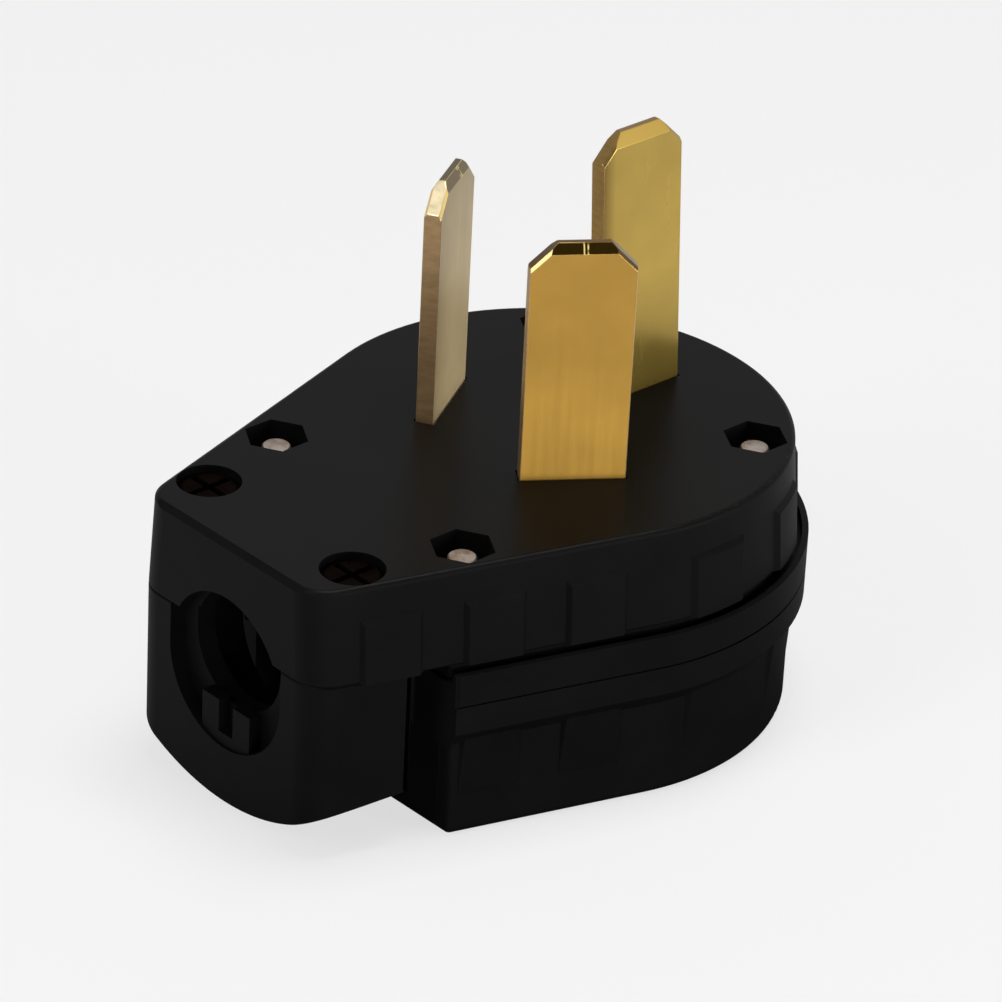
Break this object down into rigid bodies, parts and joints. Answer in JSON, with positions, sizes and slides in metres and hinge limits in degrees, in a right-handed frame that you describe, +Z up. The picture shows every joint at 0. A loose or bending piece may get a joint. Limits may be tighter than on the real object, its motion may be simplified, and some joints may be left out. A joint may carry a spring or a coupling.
{
  "type": "straight blade plug",
  "caption": "Straight blade angle plug: round black moulded housing with grip pads and a finger flange, a side cord mouth with a screwed clamp, and tall flat brass blades.",
  "frame": {"origin": "on the plane that the rear cover rests on, under the centre of the round face", "axes": "+Z up along the blades, -Y out of the cord mouth, +X across the housing"},
  "size_m": [0.0722, 0.0934, 0.0797],
  "materials": {
    "front_plastic": "satin moulded",
    "rear_plastic": "satin moulded",
    "clamp_plastic": "satin moulded",
    "line_brass_left": "bright rolled brass",
    "line_brass_right": "bright rolled brass",
    "earth_brass": "bright rolled brass",
    "saddle_brass": "plain brass",
    "washer_steel": "zinc plated",
    "terminal_steel": "zinc plated",
    "screw_steel": "zinc plated",
    "nut_steel": "zinc plated",
    "clamp_screw_steel": "yellow passivated zinc"
  },
  "bodies": {
    "root": {"front_body": "front_plastic", "rear_cover": "rear_plastic", "cord_clamp": "clamp_plastic", "line_blade_left": "line_brass_left", "line_blade_right": "line_brass_right", "earth_blade": "earth_brass", "terminal_saddle_left": "saddle_brass", "terminal_saddle_right": "saddle_brass", "terminal_saddle_earth": "saddle_brass", "terminal_washers": "washer_steel", "terminal_screws": "terminal_steel", "assembly_screws": "screw_steel", "assembly_nuts": "nut_steel", "clamp_screws": "clamp_screw_steel", "clamp_nuts": "nut_steel"}
  },
  "joints": []
}
